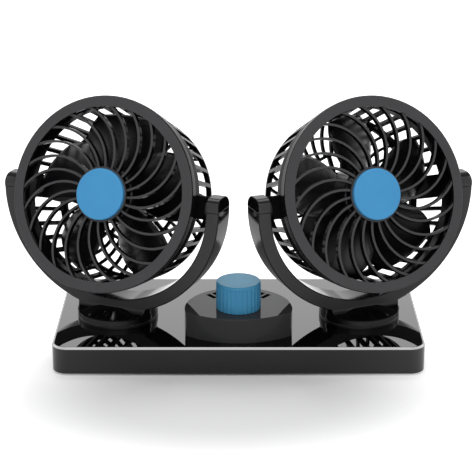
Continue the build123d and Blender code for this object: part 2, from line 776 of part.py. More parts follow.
# Rear cage: tapered cup whose side and floor are cut into bars, with a boss and a trunnion
# on each side and the motor tube in the middle
def make_rear_cage(side, head_plane):
    floor_top = cage_floor - cage_reach
    wall_start = collar_back - cage_front_band
    rim_bore_radius = cage_rear_radius - cage_rim_width
    side_window_back = cage_rim_height - cage_reach
    inner_bar_start = tube_radius - tube_wall / 2
    half_bar_step = 180 / side_bar_count
    bar_end_radius = cage_rear_radius - cage_rim_width / 2
    bar_end = (
        bar_end_radius * cos(radians(rear_bar_sweep)),
        bar_end_radius * sin(radians(rear_bar_sweep)),
    )
    outward_plane = cross_plane(head_plane)
    with BuildPart() as rear_cage:
        # Bosses for the trunnions, cleared of the inside and of the grille's collar
        with BuildSketch(outward_plane.offset(-pivot_boss_face)):
            RectangleRounded(pivot_boss_size, pivot_boss_size, pivot_boss_corner)
        extrude(amount=2 * pivot_boss_face)
        with BuildSketch(head_plane.offset(collar_back)):
            Circle(collar_radius + seat_clearance)
        extrude(amount=pivot_boss_size, mode=Mode.SUBTRACT)
        with BuildSketch(head_plane.offset(collar_back)):
            Circle(shoulder_radius - cage_wall)
        extrude(amount=-pivot_boss_size, mode=Mode.SUBTRACT)
        # Cup: tongue inside the collar, tapered wall and rear rim
        with BuildSketch(profile_plane(head_plane)):
            with BuildLine():
                Polyline(
                    (cage_rear_radius, cage_corner_round - cage_reach),
                    (shoulder_radius, collar_back),
                    (tongue_radius, collar_back),
                    (tongue_radius, collar_back + cage_tongue),
                    (tongue_radius - cage_tongue_wall, collar_back + cage_tongue),
                    (tongue_radius - cage_tongue_wall, wall_start),
                    (shoulder_radius - cage_wall, wall_start),
                    (cage_rear_radius - cage_wall, floor_top),
                    (rim_bore_radius, floor_top),
                    (rim_bore_radius, -cage_reach),
                    (cage_rear_radius - cage_corner_round, -cage_reach),
                )
                RadiusArc(
                    (cage_rear_radius - cage_corner_round, -cage_reach),
                    (cage_rear_radius, cage_corner_round - cage_reach),
                    -cage_corner_round,
                )
            make_face()
        revolve(axis=axis_of(head_plane))
        # Side windows, which leave straight bars and the bosses
        with BuildSketch(head_plane.offset(side_window_back)):
            Circle(pivot_boss_face - overrun)
            Circle(rim_bore_radius, mode=Mode.SUBTRACT)
            with PolarLocations(pivot_boss_face / 2, side_bar_count, half_bar_step):
                Rectangle(pivot_boss_face, side_bar_width, mode=Mode.SUBTRACT)
            Rectangle(2 * pivot_boss_face, pivot_boss_size, mode=Mode.SUBTRACT)
        extrude(amount=wall_start - side_window_back, mode=Mode.SUBTRACT)
        # Floor: curved outer bars, a middle ring and straight inner bars
        with BuildSketch(head_plane.offset(-cage_reach)):
            with BuildLine(mode=Mode.PRIVATE) as bar_line:
                TangentArc((middle_ring_radius, 0), bar_end, tangent=(1, 0))
            bar = trace(bar_line.line, rear_bar_width, mode=Mode.PRIVATE).face()
            with PolarLocations(0, side_bar_count, half_bar_step):
                add(bar)
            Circle(middle_ring_radius + middle_ring_width / 2)
            Circle(middle_ring_radius - middle_ring_width / 2, mode=Mode.SUBTRACT)
            with PolarLocations((inner_bar_start + middle_ring_radius) / 2, side_bar_count // 2):
                Rectangle(middle_ring_radius - inner_bar_start, inner_bar_width)
        extrude(amount=cage_floor)
        # Motor tube with its front wall
        with BuildSketch(head_plane.offset(-cage_reach)):
            Circle(tube_radius)
            Circle(tube_bore_radius, mode=Mode.SUBTRACT)
        extrude(amount=tube_front + cage_reach)
        with BuildSketch(head_plane.offset(motor_front)):
            Circle(tube_radius)
            Circle(nose_radius + seat_clearance, mode=Mode.SUBTRACT)
            with GridLocations(motor_screw_spacing, 0, 2, 1):
                Circle(motor_screw_radius + seat_clearance, mode=Mode.SUBTRACT)
        extrude(amount=tube_face)
        # Trunnions
        for direction in (-1, 1):
            with BuildSketch(outward_plane.offset(direction * pivot_boss_face)):
                Circle(trunnion_radius)
            extrude(amount=direction * trunnion_reach)
    write_piece(rear_cage, f"{side}_rear_cage")


# Friction washers between the bosses of the cage and the arms of the yoke
def make_tilt_washers(side, head_plane):
    with BuildPart() as tilt_washers:
        for direction in (-1, 1):
            with BuildSketch(cross_plane(head_plane).offset(direction * pivot_boss_face)):
                Circle(tilt_washer_radius)
                Circle(trunnion_radius + seat_clearance, mode=Mode.SUBTRACT)
            extrude(amount=direction * tilt_washer_thickness)
    write_piece(tilt_washers, f"{side}_tilt_washers")


# Motor can: steel cup with a nose that holds the front bush
def make_motor_can(side, head_plane):
    nose_front = motor_front + tube_face
    bush_bore = bush_radius + running_clearance
    with BuildPart() as motor_can:
        with BuildSketch(profile_plane(head_plane)):
            Polygon(
                (bush_bore, nose_front),
                (nose_radius, nose_front),
                (nose_radius, motor_front),
                (motor_radius, motor_front),
                (motor_radius, can_back),
                (can_bore_radius, can_back),
                (can_bore_radius, motor_front - can_wall),
                (nose_radius, motor_front - can_wall),
                (nose_radius, nose_front - bush_length),
                (bush_bore, nose_front - bush_length),
                align=None,
            )
        revolve(axis=axis_of(head_plane))
        with BuildSketch(head_plane.offset(motor_front)):
            with GridLocations(motor_screw_spacing, 0, 2, 1):
                Circle(motor_screw_radius + running_clearance)
        extrude(amount=-can_wall, mode=Mode.SUBTRACT)
    write_piece(motor_can, f"{side}_motor_can")


# Plastic end bell with the rear bush's seat and two terminals
def make_motor_end_bell(side, head_plane):
    bell_front = can_back + bell_thickness
    with BuildPart() as motor_end_bell:
        with BuildSketch(head_plane.offset(can_back)):
            Circle(can_bore_radius - running_clearance)
        extrude(amount=bell_thickness)
        with BuildSketch(head_plane.offset(bell_front)):
            Circle(bell_hub_radius)
        extrude(amount=bell_hub_height)
        with BuildSketch(head_plane.offset(bell_front + bell_hub_height)):
            Circle(bush_radius + running_clearance)
        extrude(amount=-bush_length, mode=Mode.SUBTRACT)
        with BuildSketch(head_plane.offset(can_back)):
            with GridLocations(terminal_spacing, 0, 2, 1):
                Rectangle(terminal_thickness, terminal_width)
        extrude(amount=-terminal_length)
    write_piece(motor_end_bell, f"{side}_motor_end_bell")


# Sintered bushes, one in the nose of the can and one in the end bell
bush_fronts = (motor_front + tube_face, can_back + bell_thickness + bell_hub_height)


def make_motor_bushes(side, head_plane):
    with BuildPart() as motor_bushes:
        for bush_front in bush_fronts:
            with BuildSketch(head_plane.offset(bush_front)):
                Circle(bush_radius)
                Circle(shaft_radius + running_clearance, mode=Mode.SUBTRACT)
            extrude(amount=-bush_length)
    write_piece(motor_bushes, f"{side}_motor_bushes")


# Two arc magnets against the wall of the can
magnet_radius = can_bore_radius - running_clearance
magnet_front = motor_front - magnet_setback
armature_radius = magnet_radius - magnet_thickness - air_gap


def make_motor_magnets(side, head_plane):
    gap_height = 2 * magnet_radius * sin(radians((180 - magnet_arc) / 2))
    with BuildPart() as motor_magnets:
        with BuildSketch(head_plane.offset(magnet_front)):
            Circle(magnet_radius)
            Circle(magnet_radius - magnet_thickness, mode=Mode.SUBTRACT)
            Rectangle(2 * magnet_radius, gap_height, mode=Mode.SUBTRACT)
        extrude(amount=-magnet_length)
    write_piece(motor_magnets, f"{side}_motor_magnets")


# Armature: slotted core, sleeve and commutator on one bore
def make_motor_armature(side, head_plane):
    core_front = magnet_front - (magnet_length - armature_length) / 2
    commutator_back = bush_fronts[1] + commutator_gap
    slot_length = armature_radius - armature_core_radius
    with BuildPart() as motor_armature:
        with BuildSketch(head_plane.offset(core_front)):
            Circle(armature_radius)
            with PolarLocations(armature_core_radius + slot_length / 2, armature_slot_count):
                Rectangle(slot_length, armature_slot_width, mode=Mode.SUBTRACT)
        extrude(amount=-armature_length)
        with BuildSketch(head_plane.offset(commutator_back)):
            Circle(commutator_radius)
        extrude(amount=core_front - commutator_back)
        with BuildSketch(head_plane.offset(commutator_back)):
            Circle(shaft_radius + seat_clearance)
        extrude(amount=core_front - commutator_back, mode=Mode.SUBTRACT)
    write_piece(motor_armature, f"{side}_motor_armature")


# Brush springs, one each side of the commutator, standing on the end bell
def make_motor_brushes(side, head_plane):
    bell_front = can_back + bell_thickness
    brush_height = bell_hub_height + commutator_gap + brush_width
    with BuildPart() as motor_brushes:
        with BuildSketch(head_plane.offset(bell_front)):
            for direction in (-1, 1):
                offset_out = direction * (commutator_radius + running_clearance + brush_thickness / 2)
                with Locations((offset_out, 0)):
                    Rectangle(brush_thickness, brush_span)
        extrude(amount=brush_height)
        with BuildSketch(head_plane.offset(bell_front)):
            Circle(bell_hub_radius + seat_clearance)
        extrude(amount=bell_hub_height + seat_clearance, mode=Mode.SUBTRACT)
    write_piece(motor_brushes, f"{side}_motor_brushes")


def make_motor_screws(side, head_plane):
    with BuildPart() as motor_screws:
        with BuildSketch(head_plane.offset(tube_front)):
            with GridLocations(motor_screw_spacing, 0, 2, 1):
                Circle(motor_screw_head_radius)
        extrude(amount=motor_screw_head_height)
        with BuildSketch(head_plane.offset(tube_front)):
            with GridLocations(motor_screw_spacing, 0, 2, 1):
                Circle(motor_screw_radius)
        extrude(amount=-motor_screw_length)
    write_piece(motor_screws, f"{side}_motor_screws")


# Cover that closes the motor tube from behind
def make_motor_cover(side, head_plane):
    with BuildPart() as motor_cover:
        with BuildSketch(head_plane.offset(-cage_reach)):
            Circle(motor_cover_radius)
        extrude(amount=-motor_cover_thickness)
        with BuildSketch(head_plane.offset(-cage_reach)):
            Circle(motor_radius)
            Circle(motor_radius - motor_cover_wall, mode=Mode.SUBTRACT)
        extrude(amount=motor_cover_spigot)
    write_piece(motor_cover, f"{side}_motor_cover")


# Shaft from the rear bush to the boss of the rotor
def make_motor_shaft(side, head_plane):
    shaft_back = bush_fronts[1] - bush_length + shaft_end_gap
    shaft_front = rotor_hub_reach - rotor_hub_face - shaft_end_gap
    with BuildPart() as motor_shaft:
        with BuildSketch(head_plane.offset(shaft_back)):
            Circle(shaft_radius)
        extrude(amount=shaft_front - shaft_back)
    write_piece(motor_shaft, f"{side}_motor_shaft")


# Start, middle and end of a blade section: a shallow arc, pitched out of the rim's direction
def blade_curve(chord, pitch):
    lift = radians(pitch)
    half = Vector(cos(lift), sin(lift)) * (chord / 2)
    rise = Vector(-sin(lift), cos(lift)) * (blade_camber_share * chord)
    return -half, rise, half


# Fan rotor: hub cup over the motor tube, with twisted blades lofted through three sections
def make_fan_rotor(side, head_plane):
    phase = rotor_phases[side]
    blade_height = rotor_back + rotor_hub_length / 2
    root_radius = rotor_hub_radius - 2 * rotor_hub_wall
    outer_radius = blade_tip_radius + overrun
    blade_radii = (root_radius, (root_radius + outer_radius) / 2, outer_radius)
    with BuildPart() as fan_rotor:
        with BuildSketch(head_plane.offset(rotor_back)):
            Circle(rotor_hub_radius)
        extrude(amount=rotor_hub_length)
        front_edge = fan_rotor.edges().sort_by(axis_of(head_plane))[-1]
        fillet(front_edge, rotor_hub_round)
        for blade in range(blade_count):
            for step, (radius, pitch, chord) in enumerate(zip(blade_radii, blade_pitches, blade_chords)):
                angle = phase + blade * 360 / blade_count + (step - 1) * blade_lean
                start, middle, end = blade_curve(chord, pitch)
                thick = Vector(-sin(radians(pitch)), cos(radians(pitch))) * blade_thickness
                with BuildSketch(spoke_plane(head_plane, angle, radius, blade_height)):
                    with BuildLine():
                        ThreePointArc(start, middle, end)
                        Line(end, end + thick)
                        ThreePointArc(end + thick, middle + thick, start + thick)
                        Line(start + thick, start)
                    make_face()
            loft()
        with BuildSketch(head_plane.offset(rotor_back - rotor_hub_length)):
            Circle(blade_tip_radius)
        extrude(amount=3 * rotor_hub_length, mode=Mode.INTERSECT)
        with BuildSketch(head_plane.offset(rotor_back - rotor_hub_length)):
            Circle(rotor_hub_radius - rotor_hub_wall)
        extrude(amount=2 * rotor_hub_length - rotor_hub_face, mode=Mode.SUBTRACT)
        with BuildSketch(head_plane.offset(rotor_hub_reach - rotor_hub_face)):
            Circle(rotor_boss_radius)
        extrude(amount=-rotor_boss_length)
        with BuildSketch(head_plane.offset(rotor_hub_reach - rotor_hub_face)):
            Circle(shaft_radius + running_clearance)
        extrude(amount=-rotor_boss_length, mode=Mode.SUBTRACT)
    write_piece(fan_rotor, f"{side}_fan_rotor")


# Both heads: the left one looks a little to the left, the right one to the right
for side, yaw in (("left", -head_yaw), ("right", head_yaw)):
    swivel_x, swivel_y = swivel_centres[side]
    pivot = Vector(swivel_x, swivel_y, pivot_height)
    forward = Vector(sin(radians(yaw)), -cos(radians(yaw)), 0)
    pivot_axis = Vector(cos(radians(yaw)), sin(radians(yaw)), 0)
    head_axis = forward * cos(radians(head_tilt)) + Vector(0, 0, sin(radians(head_tilt)))
    swivel_plane = Plane(origin=(swivel_x, swivel_y, base_height), x_dir=pivot_axis, z_dir=(0, 0, 1))
    arch_plane = Plane(origin=pivot, x_dir=pivot_axis, z_dir=forward)
    head_plane = Plane(origin=pivot, x_dir=pivot_axis, z_dir=head_axis)
    inner_direction = 1 if side == "left" else -1

    make_swivel_ring(side, swivel_plane)
    make_swivel_fasteners(side, swivel_plane)
    make_yoke(side, swivel_plane, arch_plane)
    make_pivot_cap(f"{side}_inner_pivot_cap", arch_plane, inner_direction)
    make_pivot_cap(f"{side}_outer_pivot_cap", arch_plane, -inner_direction)
    make_front_grille(side, head_plane)
    make_center_disc(side, head_plane)
    make_rear_cage(side, head_plane)
    make_tilt_washers(side, head_plane)
    make_motor_can(side, head_plane)
    make_motor_end_bell(side, head_plane)
    make_motor_bushes(side, head_plane)
    make_motor_magnets(side, head_plane)
    make_motor_armature(side, head_plane)
    make_motor_brushes(side, head_plane)
    make_motor_screws(side, head_plane)
    make_motor_cover(side, head_plane)
    make_motor_shaft(side, head_plane)
    make_fan_rotor(side, head_plane)
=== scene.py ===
import json
from math import radians
import bpy
import numpy as np
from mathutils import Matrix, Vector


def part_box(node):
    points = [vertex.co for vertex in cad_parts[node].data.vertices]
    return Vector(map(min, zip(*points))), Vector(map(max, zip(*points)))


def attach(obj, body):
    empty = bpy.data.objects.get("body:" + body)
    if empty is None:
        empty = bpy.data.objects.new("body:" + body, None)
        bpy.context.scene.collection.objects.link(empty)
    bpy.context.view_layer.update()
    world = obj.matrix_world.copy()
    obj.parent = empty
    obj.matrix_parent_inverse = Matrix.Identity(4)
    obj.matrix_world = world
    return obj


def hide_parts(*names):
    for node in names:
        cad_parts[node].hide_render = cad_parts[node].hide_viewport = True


# Twin head dashboard fan: finishes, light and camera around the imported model, in metres

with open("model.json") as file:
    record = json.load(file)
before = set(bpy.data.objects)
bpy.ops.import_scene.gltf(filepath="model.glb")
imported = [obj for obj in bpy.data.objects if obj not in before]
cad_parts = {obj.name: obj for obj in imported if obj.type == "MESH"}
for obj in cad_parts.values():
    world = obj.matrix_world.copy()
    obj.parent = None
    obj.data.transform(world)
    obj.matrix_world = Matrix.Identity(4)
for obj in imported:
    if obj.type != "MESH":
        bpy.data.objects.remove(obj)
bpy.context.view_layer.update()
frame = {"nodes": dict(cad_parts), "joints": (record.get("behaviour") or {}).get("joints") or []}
nodes = frame["nodes"]
heads = ("left", "right")
millimetre = 0.001
upwards = np.array([0, 0, 1])
print("stage: frame loaded with", len(nodes), "nodes")


# sRGB to linear: c / 12.92 up to 0.04045, and ((c + 0.055) / 1.055) ** 2.4 above it
def linearColour(hexColour):
    srgb = np.array([int(hexColour[i:i + 2], 16) for i in (1, 3, 5)]) / 255
    linear = np.where(srgb <= 0.04045, srgb / 12.92, ((srgb + 0.055) / 1.055) ** 2.4)
    return (*linear.tolist(), 1.0)


# Adds a node: settings are its properties, sockets its inputs, as values or as links
def addNode(tree, kind, sockets=None, **settings):
    node = tree.nodes.new(kind)
    for name, value in settings.items():
        setattr(node, name, value)
    for name, value in (sockets or {}).items():
        if isinstance(value, bpy.types.NodeSocket):
            tree.links.new(value, node.inputs[name])
        else:
            node.inputs[name].default_value = value
    return node


def newMaterial(name):
    material = bpy.data.materials.new(name)
    material.use_nodes = True
    material.node_tree.nodes.clear()
    return material, material.node_tree


# Noise cells of a real size: Object coordinates are metres, so the scale is 1 / size
def grainOfSize(tree, place, sizeMm, detail=2.0):
    sockets = {"Vector": place, "Scale": 1 / (sizeMm * millimetre), "Detail": detail}
    return addNode(tree, "ShaderNodeTexNoise", sockets).outputs["Fac"]


cloudDetail = 4.0  # octaves of the noise for handling marks and tarnish, which have ragged edges


# A number that follows a pattern between two limits, which may be patterns themselves
def spread(tree, factor, low, high):
    sockets = {"Value": factor, "To Min": low, "To Max": high}
    return addNode(tree, "ShaderNodeMapRange", sockets).outputs["Result"]


# Two colours, as hex values or as colours made before, mixed by a pattern
def mixedColour(tree, factor, low, high):
    low, high = (linearColour(colour) if isinstance(colour, str) else colour for colour in (low, high))
    return addNode(tree, "ShaderNodeMix", {0: factor, 6: low, 7: high}, data_type="RGBA").outputs[2]


# Plastic as it comes from the mould: colour drifts along the flow, the tool's grain makes the bump,
# and handling changes the roughness from place to place. With a faceAxis, the faces that look
# along it have the colours and roughness given, and the flanks have their own roughness and
# painted colours: painted light and shade by which way a face looks.
def mouldedPlastic(settings):
    material, tree = newMaterial(settings["name"])
    texture = addNode(tree, "ShaderNodeTexCoord")
    place = texture.outputs["Object"]
    flow = grainOfSize(tree, place, settings["flowMm"])
    handling = grainOfSize(tree, place, settings["handlingMm"], cloudDetail)
    grain = grainOfSize(tree, place, settings["grainMm"])
    colour = mixedColour(tree, flow, *settings["colours"])
    roughness = spread(tree, handling, *settings["roughness"])
    bump = addNode(tree, "ShaderNodeBump", {
        "Height": grain, "Strength": settings["grainStrength"],
        "Distance": settings["grainDepthMm"] * millimetre})
    if "faceAxis" in settings:
        facing = addNode(tree, "ShaderNodeVectorMath", {
            0: texture.outputs["Normal"], 1: settings["faceAxis"]}, operation="DOT_PRODUCT").outputs["Value"]
        shadeAndRoughnessByFacing = addNode(tree, "ShaderNodeMapRange", {
            "Value": facing, "From Min": settings["faceFrom"],
            "From Max": settings["faceFull"]}).outputs["Result"]
        # Painted shade: the flanks take their own colours, lighter or darker than the faces, by which way
        # they look
        paintedFlank = mixedColour(tree, flow, *settings["paintedFlankColours"])
        colour = mixedColour(tree, shadeAndRoughnessByFacing, paintedFlank, colour)
        roughness = spread(tree, shadeAndRoughnessByFacing, settings["flankRoughness"], roughness)
    shader = addNode(tree, "ShaderNodeBsdfPrincipled", {
        "Base Color": colour, "Roughness": roughness, "IOR": settings["ior"],
        "Specular IOR Level": settings["gloss"], "Normal": bump.outputs["Normal"]})
    addNode(tree, "ShaderNodeOutputMaterial", {"Surface": shader.outputs["BSDF"]})
    return material


# Metal: plating or grinding varies the roughness, and fine marks run round or along a part
def finishedMetal(settings):
    material, tree = newMaterial(settings["name"])
    place = addNode(tree, "ShaderNodeTexCoord").outputs["Object"]
    tarnish = grainOfSize(tree, place, settings["tarnishMm"], cloudDetail)
    stretched = addNode(tree, "ShaderNodeMapping", {"Vector": place, "Scale": settings["stretch"]})
    marks = grainOfSize(tree, stretched.outputs["Vector"], settings["markMm"])
    bump = addNode(tree, "ShaderNodeBump", {
        "Height": marks, "Strength": settings["markStrength"],
        "Distance": settings["markDepthMm"] * millimetre})
    shader = addNode(tree, "ShaderNodeBsdfPrincipled", {
        "Base Color": mixedColour(tree, tarnish, *settings["colours"]),
        "Metallic": 1.0,
        "Roughness": spread(tree, tarnish, *settings["roughness"]),
        "Normal": bump.outputs["Normal"]})
    addNode(tree, "ShaderNodeOutputMaterial", {"Surface": shader.outputs["BSDF"]})
    return material


# Piano black ABS of the base: polished mould and a clear lacquer, so it mirrors like a dark window
pianoBlackAbs = mouldedPlastic({
    "name": "pianoBlackAbs", "colours": ("#030304", "#060607"),
    "ior": 1.52, "gloss": 0.5, "roughness": (0.012, 0.03),
    "flowMm": 40, "handlingMm": 18, "grainMm": 14, "grainStrength": 0.02, "grainDepthMm": 0.02})

# Polished black ABS of the drum, without lacquer: it mirrors almost as sharply as the base but
# faintly, over a greyer plastic, so its wall reads lighter
drumBlackAbs = mouldedPlastic({
    "name": "drumBlackAbs", "colours": ("#313132", "#373738"),
    "ior": 1.52, "gloss": 0.08, "roughness": (0.02, 0.05),
    "flowMm": 25, "handlingMm": 12, "grainMm": 10, "grainStrength": 0.02, "grainDepthMm": 0.02})

# Where each head hangs and which way it faces, from its joints: unit directions along the arms, to
# the front of the yoke, along the rotor's axis and up in the head
jointOf = {joint["name"]: joint for joint in frame["joints"]}


def headDirections(side):
    arm = np.array(jointOf[f"{side}_tilt"]["axis"])
    arm *= np.sign(arm[0])
    spin = np.array(jointOf[f"{side}_spin"]["axis"])
    return {"pivot": np.array(jointOf[f"{side}_tilt"]["pos_m"]), "arm": arm, "front": np.cross(arm, upwards),
            "spin": spin, "up": np.cross(spin, arm)}


headOf = {side: headDirections(side) for side in heads}

# Black ABS of each yoke: a fine satin on the front faces, and polished flanks painted near black, a painted
# shade, so that they look black
yokeFinish = {
    "colours": ("#39393a", "#3f3e40"), "ior": 1.52, "gloss": 0.12, "roughness": (0.2, 0.3),
    "faceFrom": 0.6, "faceFull": 0.9, "paintedFlankColours": ("#0b0b0c", "#111112"), "flankRoughness": 0.1,
    "flowMm": 30, "handlingMm": 12, "grainMm": 0.8, "grainStrength": 0.08, "grainDepthMm": 0.03}
yokeBlackAbs = {side: mouldedPlastic({
    **yokeFinish, "name": f"{side}YokeBlackAbs",
    "faceAxis": headOf[side]["front"].tolist()}) for side in heads}

# Charcoal ABS of each grille: spark grain on the faces that look forwards, drawn 0.6 mm wide so
# that it shows, and smooth flanks, which the mould has to slide off, painted near black as a painted shade,
# so these look black
grilleFinish = {
    "colours": ("#474748", "#4e4d4f"), "ior": 1.5, "gloss": 0.04, "roughness": (0.3, 0.4),
    "faceFrom": 0.55, "faceFull": 0.85, "paintedFlankColours": ("#0c0c0d", "#121213"), "flankRoughness": 0.2,
    "flowMm": 25, "handlingMm": 9, "grainMm": 0.6, "grainStrength": 0.18, "grainDepthMm": 0.05}
grilleCharcoalAbs = {side: mouldedPlastic({
    **grilleFinish, "name": f"{side}GrilleCharcoalAbs",
    "faceAxis": headOf[side]["spin"].tolist()}) for side in heads}

# Black ABS of the rear cage and the motor cover: smooth, with hardly any gloss, so that its thin
# bars stay dark against a bright room
cageBlackAbs = mouldedPlastic({
    "name": "cageBlackAbs", "colours": ("#0b0b0c", "#111112"),
    "ior": 1.5, "gloss": 0.02, "roughness": (0.14, 0.24),
    "flowMm": 25, "handlingMm": 9, "grainMm": 0.8, "grainStrength": 0.06, "grainDepthMm": 0.03})

# Smoke black polypropylene of the rotor: smooth from the mould, with a soft sheen
rotorBlackPolypropylene = mouldedPlastic({
    "name": "rotorBlackPolypropylene", "colours": ("#0b0b0d", "#121214"),
    "ior": 1.49, "gloss": 0.2, "roughness": (0.22, 0.34),
    "flowMm": 20, "handlingMm": 8, "grainMm": 3, "grainStrength": 0.05, "grainDepthMm": 0.03})

# Blue ABS of the knob, coloured in the mass: silky, with the pigment drifting a shade along the
# flow, and the top painted a shade greyer than the ribbed wall, a painted shade on the face that looks up
blueKnobAbs = mouldedPlastic({
    "name": "blueKnobAbs", "colours": ("#377b99", "#3d82a0"),
    "ior": 1.5, "gloss": 0.12, "roughness": (0.28, 0.38),
    "faceAxis": upwards.tolist(), "faceFrom": 0.5, "faceFull": 0.9,
    "paintedFlankColours": ("#3f86ae", "#468db4"), "flankRoughness": 0.33,
    "flowMm": 10, "handlingMm": 5, "grainMm": 0.5, "grainStrength": 0.1, "grainDepthMm": 0.03})

# Blue ABS of the discs: a brighter blue, with a fine satin from the tool
blueDiscAbs = mouldedPlastic({
    "name": "blueDiscAbs", "colours": ("#4393c9", "#4a9bd0"),
    "ior": 1.5, "gloss": 0.3, "roughness": (0.42, 0.52),
    "flowMm": 14, "handlingMm": 6, "grainMm": 0.6, "grainStrength": 0.12, "grainDepthMm": 0.04})

# Black ABS of the underside: a coarse spark grain, dull and even
plateBlackAbs = mouldedPlastic({
    "name": "plateBlackAbs", "colours": ("#141414", "#1b1b1b"),
    "ior": 1.5, "gloss": 0.4, "roughness": (0.5, 0.62),
    "flowMm": 30, "handlingMm": 12, "grainMm": 0.7, "grainStrength": 0.35, "grainDepthMm": 0.08})

# Black acetal of the bearing rings and friction washers: waxy, with a soft gloss
blackAcetal = mouldedPlastic({
    "name": "blackAcetal", "colours": ("#101011", "#171718"),
    "ior": 1.48, "gloss": 0.4, "roughness": (0.3, 0.4),
    "flowMm": 12, "handlingMm": 5, "grainMm": 0.7, "grainStrength": 0.08, "grainDepthMm": 0.03})

# Natural nylon of the motor's end bell: milky, a little yellow, with a soft gloss
naturalNylon = mouldedPlastic({
    "name": "naturalNylon", "colours": ("#d8d2c2", "#e4dfd2"),
    "ior": 1.53, "gloss": 0.5, "roughness": (0.35, 0.45),
    "flowMm": 8, "handlingMm": 4, "grainMm": 0.6, "grainStrength": 0.08, "grainDepthMm": 0.03})

# Phenolic of the switch body: dark brown and dull, with filler specks
brownPhenolic = mouldedPlastic({
    "name": "brownPhenolic", "colours": ("#22150f", "#3a261a"),
    "ior": 1.6, "gloss": 0.4, "roughness": (0.4, 0.6),
    "flowMm": 1.2, "handlingMm": 3, "grainMm": 0.6, "grainStrength": 0.15, "grainDepthMm": 0.04})

# PVC insulation of the leads: extruded, with a soft gloss
leadInsulation = {"ior": 1.53, "gloss": 0.5, "roughness": (0.3, 0.42), "flowMm": 6, "handlingMm": 4,
                  "grainMm": 0.7, "grainStrength": 0.1, "grainDepthMm": 0.03}
redPvc = mouldedPlastic({**leadInsulation, "name": "redPvc", "colours": ("#9c1a17", "#b02420")})
blackPvc = mouldedPlastic({**leadInsulation, "name": "blackPvc", "colours": ("#101010", "#191919")})

# Rubber of the gland: matt, with a bloom that lightens it in patches
blackRubber = mouldedPlastic({
    "name": "blackRubber", "colours": ("#161616", "#232322"),
    "ior": 1.52, "gloss": 0.35, "roughness": (0.62, 0.78),
    "flowMm": 5, "handlingMm": 3, "grainMm": 0.6, "grainStrength": 0.2, "grainDepthMm": 0.05})

# Closed-cell foam of the pad: cells of about 0.8 mm, hardly any gloss
blackFoam = mouldedPlastic({
    "name": "blackFoam", "colours": ("#17171a", "#242427"),
    "ior": 1.4, "gloss": 0.2, "roughness": (0.85, 0.95),
    "flowMm": 0.8, "handlingMm": 6, "grainMm": 0.8, "grainStrength": 0.8, "grainDepthMm": 0.25})

# Cement of the resistor: chalky white, sandy
whiteCement = mouldedPlastic({
    "name": "whiteCement", "colours": ("#cfcac0", "#e2ded5"),
    "ior": 1.5, "gloss": 0.3, "roughness": (0.75, 0.9),
    "flowMm": 1.5, "handlingMm": 3, "grainMm": 0.5, "grainStrength": 0.5, "grainDepthMm": 0.12})

# Hard ferrite of the magnets: sintered and ground, dark grey
grayFerrite = mouldedPlastic({
    "name": "grayFerrite", "colours": ("#2b2c2f", "#3a3b3e"),
    "ior": 1.9, "gloss": 0.5, "roughness": (0.45, 0.6),
    "flowMm": 1.5, "handlingMm": 3, "grainMm": 0.5, "grainStrength": 0.2, "grainDepthMm": 0.04})

# Zinc plated steel of screws, nuts and washers: cool and cloudy
zincSteel = finishedMetal({
    "name": "zincSteel", "colours": ("#a9adb2", "#c3c6c9"), "roughness": (0.24, 0.38), "tarnishMm": 2.5,
    "markMm": 0.6, "stretch": (1, 1, 4), "markStrength": 0.15, "markDepthMm": 0.02})

# Nickel plated deep drawn steel of the motor can: draw marks run along it
nickelSteel = finishedMetal({
    "name": "nickelSteel", "colours": ("#b4b0a6", "#cac6bd"), "roughness": (0.16, 0.28), "tarnishMm": 6,
    "markMm": 0.6, "stretch": (3, 3, 0.3), "markStrength": 0.12, "markDepthMm": 0.02})

# Ground steel of the shafts: bright, with fine marks
groundSteel = finishedMetal({
    "name": "groundSteel", "colours": ("#9b9da0", "#b3b5b8"), "roughness": (0.12, 0.2), "tarnishMm": 3,
    "markMm": 0.5, "stretch": (1, 5, 5), "markStrength": 0.1, "markDepthMm": 0.01})

# Core sheets of the armature: stacked every 0.5 mm, blue-grey from annealing
coreSteel = finishedMetal({
    "name": "coreSteel", "colours": ("#5f646c", "#787d84"), "roughness": (0.35, 0.5), "tarnishMm": 2,
    "markMm": 0.5, "stretch": (0.2, 4, 1), "markStrength": 0.4, "markDepthMm": 0.05})

# Oil-filled sintered bronze of the bushes and spring bronze of the brushes
sinteredBronze = finishedMetal({
    "name": "sinteredBronze", "colours": ("#8a5f36", "#a87849"), "roughness": (0.4, 0.55), "tarnishMm": 0.8,
    "markMm": 0.4, "stretch": (1, 1, 1), "markStrength": 0.3, "markDepthMm": 0.03})
springBronze = finishedMetal({
    "name": "springBronze", "colours": ("#b07a45", "#c79258"), "roughness": (0.2, 0.3), "tarnishMm": 2,
    "markMm": 0.5, "stretch": (4, 1, 1), "markStrength": 0.1, "markDepthMm": 0.01})
print("stage: materials made")

# Which finish each node wears: the base's own nodes, then what each head has
finishOfNode = {
    "base_cover": pianoBlackAbs, "switch_housing": drumBlackAbs, "base_plate": plateBlackAbs,
    "base_screws": zincSteel, "housing_screws": zincSteel, "adhesive_pad": blackFoam,
    "rotary_switch": brownPhenolic, "switch_nut": zincSteel, "switch_shaft": groundSteel,
    "speed_resistor": whiteCement, "cable_gland": blackRubber, "knob": blueKnobAbs,
    "supply_lead": blackPvc, "left_lead": redPvc, "right_lead": redPvc,
}
finishOfHeadNode = {
    "swivel_ring": blackAcetal, "swivel_washer": zincSteel, "swivel_nut": zincSteel,
    "center_disc": blueDiscAbs, "rear_cage": cageBlackAbs, "tilt_washers": blackAcetal,
    "motor_can": nickelSteel, "motor_end_bell": naturalNylon, "motor_bushes": sinteredBronze,
    "motor_magnets": grayFerrite, "motor_armature": coreSteel, "motor_brushes": springBronze,
    "motor_screws": zincSteel, "motor_cover": cageBlackAbs, "motor_shaft": groundSteel,
    "fan_rotor": rotorBlackPolypropylene,
}
